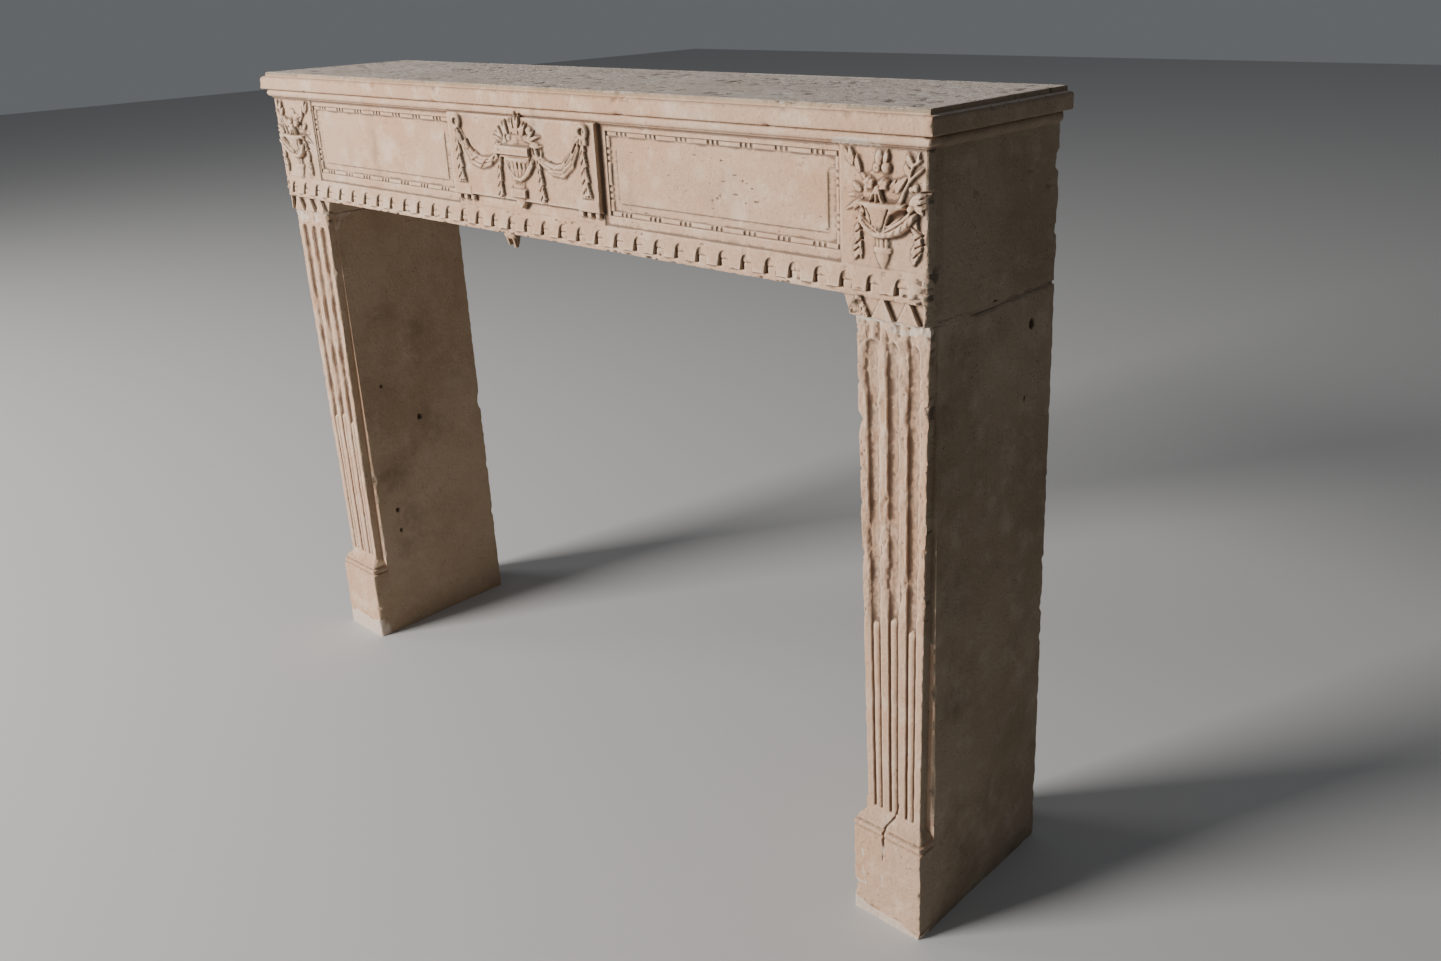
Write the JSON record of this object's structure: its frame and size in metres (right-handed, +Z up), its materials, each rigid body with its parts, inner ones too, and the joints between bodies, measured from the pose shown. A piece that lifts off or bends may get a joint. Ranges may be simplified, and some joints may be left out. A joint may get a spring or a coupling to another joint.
{
  "type": "fireplace mantel",
  "caption": "Carved stone fireplace mantel: fluted jambs on plain plinths, a lintel with urn, swags, sunk panels and corner vases over a row of arched flutes, and a moulded shelf.",
  "frame": {"origin": "middle of the mantel's footprint at floor level", "axes": "+X along the width to the viewer's right, +Y towards the wall behind, +Z up; the carved front faces -Y"},
  "size_m": [1.44, 0.292, 1.08],
  "materials": {
    "stone": "weathered pinkish beige limestone, dull"
  },
  "bodies": {
    "root": {"shelf_slab": "stone", "carved_lintel": "stone", "left_jamb": "stone", "right_jamb": "stone"}
  },
  "joints": []
}
